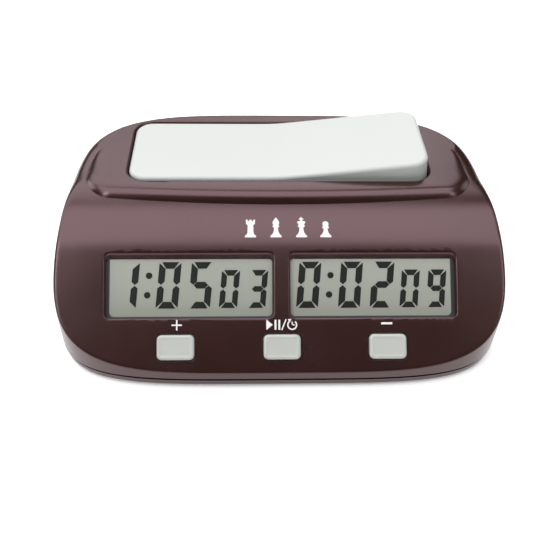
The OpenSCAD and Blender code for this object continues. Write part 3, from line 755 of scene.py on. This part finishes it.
def thin_plate(name, outlines, out, thickness, place=on_face, cuts=()):
    """Flat shapes drawn across and up the face, given a thickness, then laid on the surface."""
    mesh = bpy.data.meshes.new(name)
    points = []
    faces = []
    for outline in outlines:
        faces.append(tuple(range(len(points), len(points) + len(outline))))
        points += [(x, s, out) for x, s in outline]
    mesh.from_pydata(points, [], faces)
    piece = bpy.data.objects.new(name, mesh)
    bpy.context.scene.collection.objects.link(piece)
    only(piece)
    bpy.ops.object.mode_set(mode="EDIT")
    bpy.ops.mesh.select_all(action="SELECT")
    bpy.ops.mesh.extrude_region_move(TRANSFORM_OT_translate={"value": (0, 0, thickness)})
    for cut in cuts:
        bpy.ops.mesh.select_all(action="SELECT")
        bpy.ops.mesh.bisect(plane_co=(0, cut, 0), plane_no=(0, 1, 0))
    bpy.ops.mesh.select_all(action="SELECT")
    bpy.ops.mesh.normals_make_consistent(inside=False)
    bpy.ops.object.mode_set(mode="OBJECT")
    for vertex in mesh.vertices:
        vertex.co = place(*vertex.co)
    return piece


def segment_outlines(width, height, stroke):
    """The seven segments of a figure, named as on any such display, about its lower left corner."""
    g, w = segment_gap / 2, stroke
    middle = height / 2
    soft = 0.32 * w
    top = [(soft + g, height), (width - soft - g, height), (width - w - g, height - w), (w + g, height - w)]
    upper_left = [
        (0, height - soft),
        (g, height - soft * 0.5),
        (w, height - w - g),
        (w, middle + w * 0.5 + g),
        (w * 0.5, middle + g * 1.4),
        (0, middle + w * 0.45),
    ]
    centre = [
        (w * 0.5 + g * 1.5, middle),
        (w + g, middle + w / 2),
        (width - w - g, middle + w / 2),
        (width - w * 0.5 - g * 1.5, middle),
        (width - w - g, middle - w / 2),
        (w + g, middle - w / 2),
    ]

    def flip_x(outline):
        return [(width - x, y) for x, y in outline]

    def flip_y(outline):
        return [(x, height - y) for x, y in outline]

    return {
        "a": top,
        "f": upper_left,
        "b": flip_x(upper_left),
        "g": centre,
        "d": flip_y(top),
        "e": flip_y(upper_left),
        "c": flip_x(flip_y(upper_left)),
    }


def dot(x, s, radius=1.12 * mm, sides=28):
    turns = [2 * math.pi * i / sides for i in range(sides)]
    return [(x + radius * math.cos(a), s + radius * math.sin(a)) for a in turns]


lit = {"0": "abcdef", "1": "bc", "2": "abged", "3": "abgcd", "5": "afgcd", "9": "abcdfg"}
big_size = (7.6 * mm, 16.0 * mm, 2.3 * mm)
small_size = (6.3 * mm, 13.1 * mm, 1.95 * mm)
big_low, small_low = 22.0 * mm, 22.1 * mm
# Each figure, its size, and where the left of its foot stands across the face, in millimetres
readings = {
    "left": [
        ("1", big_size, -57.6), ("0", big_size, -43.3), ("5", big_size, -32.2),
        ("0", small_size, -21.6), ("3", small_size, -11.9),
    ],
    "right": [
        ("0", big_size, 5.0), ("0", big_size, 19.5), ("2", big_size, 30.5),
        ("0", small_size, 40.9), ("9", small_size, 50.2),
    ],
}
colons = {"left": -46.5, "right": 16.1}
for side, reading in readings.items():
    outlines = []
    for figure, size, x in reading:
        low = big_low if size is big_size else small_low
        segments = segment_outlines(*size)
        for letter in lit[figure]:
            outlines.append([(x * mm + px + py * segment_lean, low + py) for px, py in segments[letter]])
    for up in (4.6 * mm, 11.3 * mm):
        outlines.append(dot(colons[side] * mm + up * segment_lean, big_low + up))
    figures = thin_plate("display_figures_" + side, outlines, segment_out, 0.03 * mm)
    dress(figures, ink.material, "case", "dark_plastic")

# ---- Printed signs ----
# White ink, pad-printed on the face: plus and minus, and play, pause and clock signs over the keys,
# with four chessmen in a row on the crown.

print_white = Paint("white_ink", Specular_IOR_Level=0.3)
print_white.set(
    Base_Color=print_white.blend(print_white.noise(700, 2), (0.62, 0.61, 0.61), (0.72, 0.71, 0.71)),
    Roughness=0.5 + 0.1 * print_white.noise(2000, 2),
)
ink_depth = 0.05 * mm
sign_s = 16.3 * mm


def bar(x0, s0, x1, s1, width):
    """A straight stroke from one point to another."""
    a, b = Vector((x0, s0)), Vector((x1, s1))
    side = (b - a).normalized().orthogonal() * width / 2
    return [tuple(p) for p in (a - side, b - side, b + side, a + side)]


def arc_band(cx, cy, radius, width, start, stop):
    """A curved stroke, as one outline."""
    steps = 40
    angles = [math.radians(start + (stop - start) * i / steps) for i in range(steps + 1)]
    outer, inner = [
        [(cx + r * math.cos(a), cy + r * math.sin(a)) for a in angles]
        for r in (radius + width / 2, radius - width / 2)
    ]
    return outer + inner[::-1]


plus_x, minus_x = -key_pitch + 0.3 * mm, key_pitch - 0.1 * mm
plus_half = 1.75 * mm
signs = [
    bar(plus_x - plus_half, sign_s, plus_x + plus_half, sign_s, 0.5 * mm),
    bar(plus_x, sign_s + 0.25 * mm, plus_x, sign_s + plus_half, 0.5 * mm),
    bar(plus_x, sign_s - plus_half, plus_x, sign_s - 0.25 * mm, 0.5 * mm),
    bar(minus_x - 1.9 * mm, sign_s + 0.3 * mm, minus_x + 1.9 * mm, sign_s + 0.3 * mm, 0.7 * mm),
    [(-5.3 * mm, sign_s - 1.8 * mm), (-3.1 * mm, sign_s), (-5.3 * mm, sign_s + 1.8 * mm)],
    bar(-2.2 * mm, sign_s - 1.7 * mm, -2.2 * mm, sign_s + 1.7 * mm, 0.65 * mm),
    bar(-0.9 * mm, sign_s - 1.7 * mm, -0.9 * mm, sign_s + 1.7 * mm, 0.65 * mm),
    bar(-0.05 * mm, sign_s - 1.8 * mm, 1.4 * mm, sign_s + 1.8 * mm, 0.4 * mm),
    arc_band(3.5 * mm, sign_s - 0.1 * mm, 1.5 * mm, 0.45 * mm, 120, 410),
    bar(3.5 * mm, sign_s - 0.1 * mm, 3.5 * mm, sign_s + 1.0 * mm, 0.35 * mm),
    bar(3.7 * mm, sign_s - 0.1 * mm, 4.4 * mm, sign_s - 0.1 * mm, 0.35 * mm),
    [(2.0 * mm, sign_s + 1.9 * mm), (3.3 * mm, sign_s + 1.9 * mm), (2.6 * mm, sign_s + 0.7 * mm)],
]
signs_piece = thin_plate("printed_signs", signs, 0.01 * mm, ink_depth)
dress(signs_piece, print_white.material, "case", "case_plastic")


def on_crown(x, s, out):
    """A point given across the crown, along its arc from the flat face, and out of it."""
    angle = face_angle - s / crown_radius
    return Vector(
        (
            x,
            crown_centre.x - (crown_radius + out) * math.sin(angle),
            crown_centre.y + (crown_radius + out) * math.cos(angle),
        )
    )


# Each chessman is the right half of its outline, from the foot up, in millimetres
foot_line = [(1.9, 0), (1.9, 0.6), (1.35, 1.0), (0.85, 1.9)]
rook = foot_line[:3] + [
    (1.05, 1.6), (0.95, 4.4), (1.5, 4.8), (1.6, 6.4), (0.95, 6.4), (0.95, 5.8), (0.4, 5.8), (0.4, 6.4),
]
bishop = foot_line + [
    (0.6, 3.5), (1.15, 3.7), (1.15, 4.1), (0.75, 4.25), (1.2, 5.2), (0.8, 6.2), (0.3, 6.8), (0.1, 7.2),
]
king = foot_line + [
    (0.65, 3.6), (1.2, 3.8), (1.2, 4.2), (0.8, 4.35), (1.5, 5.6), (0.3, 6.0), (0.3, 6.4), (0.75, 6.4),
    (0.75, 6.85), (0.3, 6.85), (0.3, 7.3),
]
head_radius, head_up = 1.05, 4.75
pawn = foot_line + [(0.6, 3.1), (1.15, 3.3), (1.15, 3.75), (0.72, 3.95)]
for a in range(-45, 90, 15):
    turn = math.radians(a)
    pawn.append((head_radius * math.cos(turn), head_up + head_radius * math.sin(turn)))
crown_foot = 4.3 * mm
chessmen = []
for x, half in ((-10.6, rook), (-1.8, bishop), (7.0, king), (15.4, pawn)):
    whole = half + [(-px, py) for px, py in half[::-1]]
    chessmen.append([((x + px) * mm, crown_foot + py * mm) for px, py in whole])
chessmen_piece = thin_plate(
    "printed_chessmen", chessmen, 0.02 * mm, ink_depth, on_crown, [crown_foot + i * mm for i in range(1, 7)]
)
dress(chessmen_piece, print_white.material, "case", "case_plastic")

# ---- Small parts ----
# What shows through the gaps and underneath keeps its exact shape from the frame: boards, holders,
# switches, screws, springs, cell, contacts, door, feet and leads, each in its own finish.


def finish_nodes(material, *nodes):
    for name in nodes:
        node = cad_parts[name]
        node.data.materials.clear()
        node.data.materials.append(material)


def plain_metal(name, colour, roughness):
    """Plated metal with fine streaks drawn along it."""
    paint = Paint(name, Metallic=1.0)
    drawn = paint.node("ShaderNodeMapping", {}, {"Vector": paint.place, "Scale": (1, 12, 12)})
    streak = paint.node("ShaderNodeTexNoise", {}, {"Vector": drawn, "Scale": 260, "Detail": 3})
    darker = tuple(0.8 * c for c in colour)
    paint.set(Base_Color=paint.blend(streak, darker, colour), Roughness=roughness - 0.08 + 0.2 * streak)
    paint.bump(streak, 0.00003, 0.2)
    return paint.material


black_plastic = moulded_plastic(
    "black_plastic", (0.014, 0.014, 0.015), (0.024, 0.024, 0.025), 0.45, 2200, 0.00005, 0.2
)
# The black masks on the displays are painted shade for the shaded inner edges of the windows' walls.
for piece in shade_masks:
    dress(piece, black_plastic, "case", "dark_plastic")
finish_nodes(
    black_plastic,
    "lcd_frame_left", "lcd_frame_right", "controller_chip", "buzzer", "key_switches", "lever_switches",
    "power_knob",
)
ivory = moulded_plastic("ivory_acetal", (0.70, 0.66, 0.56), (0.76, 0.72, 0.63), 0.35, 1800, 0.00004, 0.1)
finish_nodes(ivory, "plus_key_stem", "pause_key_stem", "minus_key_stem", "plunger_left", "plunger_right")
soft_rubber = moulded_plastic(
    "soft_rubber", (0.017, 0.017, 0.018), (0.032, 0.032, 0.034), 0.72, 1500, 0.0001, 0.4
)
finish_nodes(soft_rubber, *feet, "rocker_bumper_left", "rocker_bumper_right", "zebra_left", "zebra_right")
zinc = plain_metal("zinc_plate", (0.62, 0.62, 0.64), 0.34)
finish_nodes(
    zinc,
    "case_screws", "board_screws", "lever_board_screws", "rocker_pin", "crystal", "power_switch",
    "plunger_spring_left", "plunger_spring_right",
)
nickel = plain_metal("nickel_plate", (0.70, 0.68, 0.62), 0.28)
finish_nodes(nickel, "battery_plus_contact", "battery_spring")
finish_nodes(burgundy, "battery_door")

mask = Paint("solder_mask", Specular_IOR_Level=0.6)
waves = {"Vector": mask.place, "Scale": 260, "Distortion": 6, "Detail": 2}
tracks = mask.node("ShaderNodeTexWave", {}, waves, 1)
mask.set(
    Base_Color=mask.blend(tracks, (0.01, 0.06, 0.024), (0.016, 0.105, 0.04)),
    Roughness=0.28 + 0.1 * mask.noise(400, 2),
)
mask.bump(tracks, 0.00003, 0.3)
finish_nodes(mask.material, "main_board", "lever_board")
ceramic = moulded_plastic(
    "component_ceramic", (0.36, 0.26, 0.16), (0.46, 0.35, 0.23), 0.5, 1200, 0.00005, 0.2
)
finish_nodes(ceramic, "board_components")
sleeve = moulded_plastic("cell_sleeve", (0.022, 0.10, 0.055), (0.03, 0.14, 0.075), 0.25, 800, 0.00003, 0.1)
finish_nodes(sleeve, "battery_cell")
red_pvc = moulded_plastic("red_pvc", (0.30, 0.014, 0.012), (0.38, 0.022, 0.02), 0.4, 900, 0.00004, 0.15)
finish_nodes(red_pvc, "battery_wires")
grey_pvc = moulded_plastic("grey_pvc", (0.28, 0.28, 0.29), (0.36, 0.36, 0.37), 0.5, 900, 0.00004, 0.15)
finish_nodes(grey_pvc, "lever_ribbon")

# ---- Studio ----
# A pale seamless floor, soft light from above and behind with weak fill at the sides and front, and
# the camera in front, looking down at the face.

scene = bpy.context.scene
scene.view_settings.view_transform = "Standard"
scene.view_settings.look = "None"

bpy.ops.object.select_all(action="DESELECT")
bpy.ops.mesh.primitive_plane_add(size=6, location=(0, 0, 0))
floor = bpy.context.active_object
floor.name = "floor"
paper = Paint("white_paper")
paper.set(
    Base_Color=paper.blend(paper.noise(30, 2), (0.90, 0.90, 0.90), (0.92, 0.92, 0.92)),
    Roughness=0.8 + 0.05 * paper.noise(300, 2),
    Emission_Color=paper.blend(paper.noise(30, 2), (0.96, 0.96, 0.96), (1, 1, 1)),
    Emission_Strength=0.25,
)
floor.data.materials.append(paper.material)

world = bpy.data.worlds.new("studio")
scene.world = world
world.use_nodes = True
backdrop = world.node_tree.nodes["Background"]
backdrop.inputs["Color"].default_value = (1.0, 1.0, 1.0, 1)
backdrop.inputs["Strength"].default_value = 0.04


def soft_box(name, place, aim, width, depth, power, colour=(1, 1, 1)):
    light = bpy.data.lights.new(name, "AREA")
    light.shape = "RECTANGLE"
    light.size = width
    light.size_y = depth
    light.energy = power
    light.color = colour
    lamp = bpy.data.objects.new(name, light)
    lamp.location = place
    lamp.rotation_euler = (Vector(aim) - Vector(place)).to_track_quat("-Z", "Y").to_euler()
    scene.collection.objects.link(lamp)


soft_box("overhead", (-0.17, -0.13, 1.1), (-0.17, 0.01, 0.03), 1.62, 0.92, 17, (1, 0.985, 0.995))
soft_box("back", (-0.25, 0.95, 1.1), (0, 0, 0.05), 1.8, 0.95, 15, (1, 0.97, 0.985))
soft_box("left_side", (-1.0, 0.3, 0.5), (0, 0, 0.03), 0.6, 0.6, 4)
soft_box("right_side", (1.1, 0.3, 0.5), (0, 0, 0.03), 0.6, 0.6, 1.8)
soft_box("front_left", (-0.64, -0.64, 0.86), (-0.07, -0.03, 0.03), 0.12, 0.5, 3.6)
soft_box("front_right", (0.72, -0.6, 0.82), (0.07, -0.03, 0.03), 0.12, 0.5, 1.9)

camera_data = bpy.data.cameras.new("camera")
camera_data.lens = 46.67
camera_data.sensor_width = 36
camera = bpy.data.objects.new("camera", camera_data)
camera.location = (-0.01223, -0.19344, 0.19841)
turned = Matrix.Rotation(math.radians(-2.394), 3, "Z") @ Matrix.Rotation(math.radians(90 - 44.324), 3, "X")
camera.rotation_euler = (turned @ Matrix.Rotation(math.radians(1.512), 3, "Z")).to_euler()
camera_data.clip_start = 0.01
scene.collection.objects.link(camera)
scene.camera = camera
